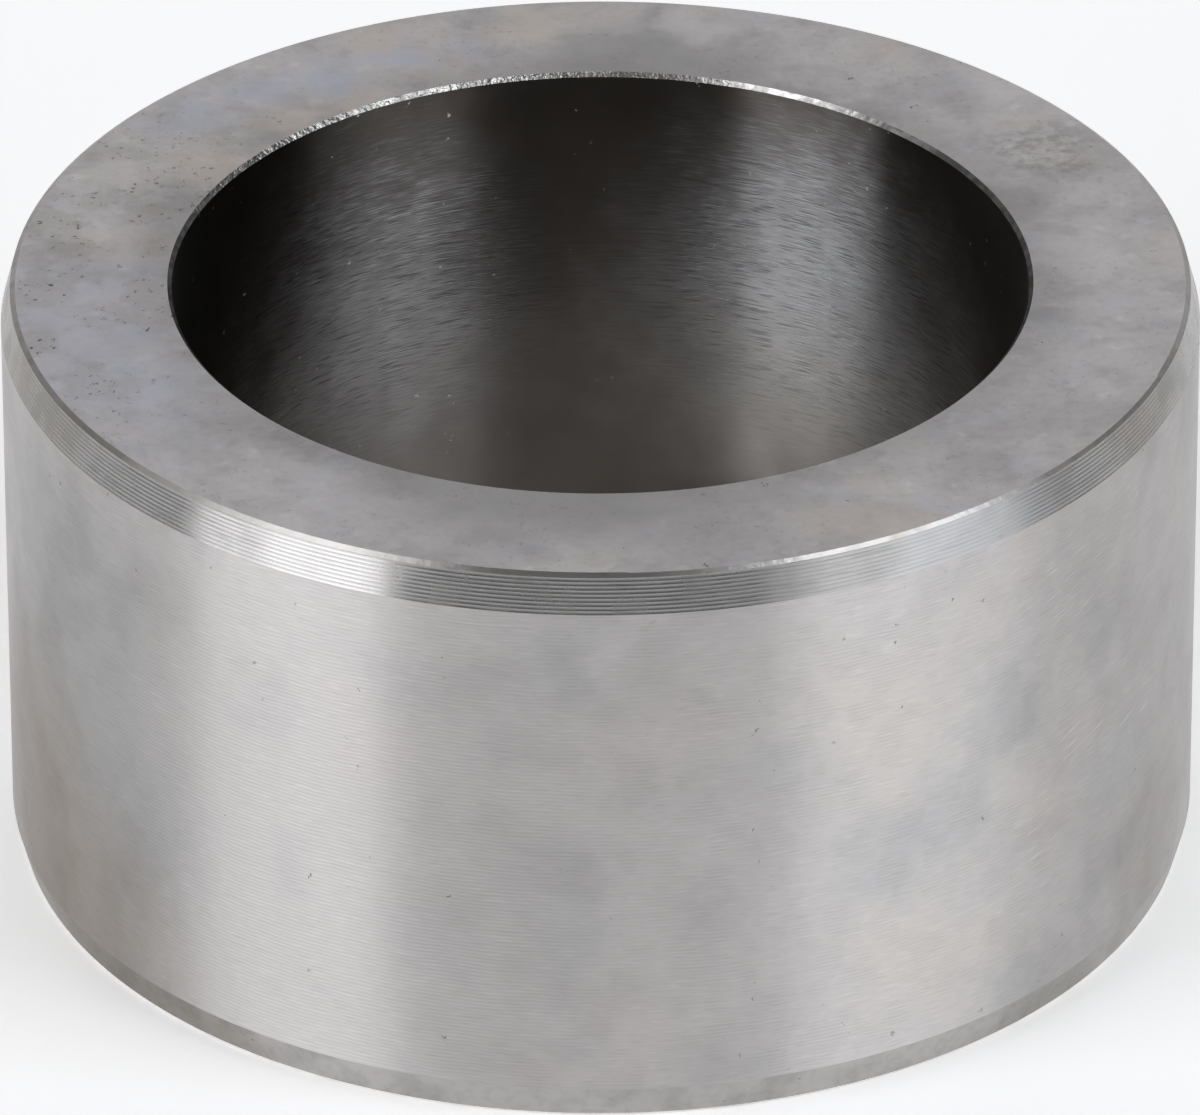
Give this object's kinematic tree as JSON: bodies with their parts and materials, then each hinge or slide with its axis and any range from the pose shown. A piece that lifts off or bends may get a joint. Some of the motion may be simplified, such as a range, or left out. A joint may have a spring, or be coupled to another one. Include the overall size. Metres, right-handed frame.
{
  "type": "spacer sleeve",
  "caption": "Short thick-walled steel sleeve with a plain bore, ground end faces and a slim lead-in cone at each end, which holds two parts a set distance apart on a shaft.",
  "frame": {"origin": "centre of the lower end face", "axes": "+Z along the bore, from the lower end face to the upper one; X and Y are free, because the sleeve is round"},
  "size_m": [0.07, 0.07, 0.036],
  "materials": {
    "turned_steel": "bare steel: finely turned outer wall and cones, matte ground end faces, honed bore"
  },
  "bodies": {
    "root": {"sleeve": "turned_steel"}
  },
  "joints": []
}
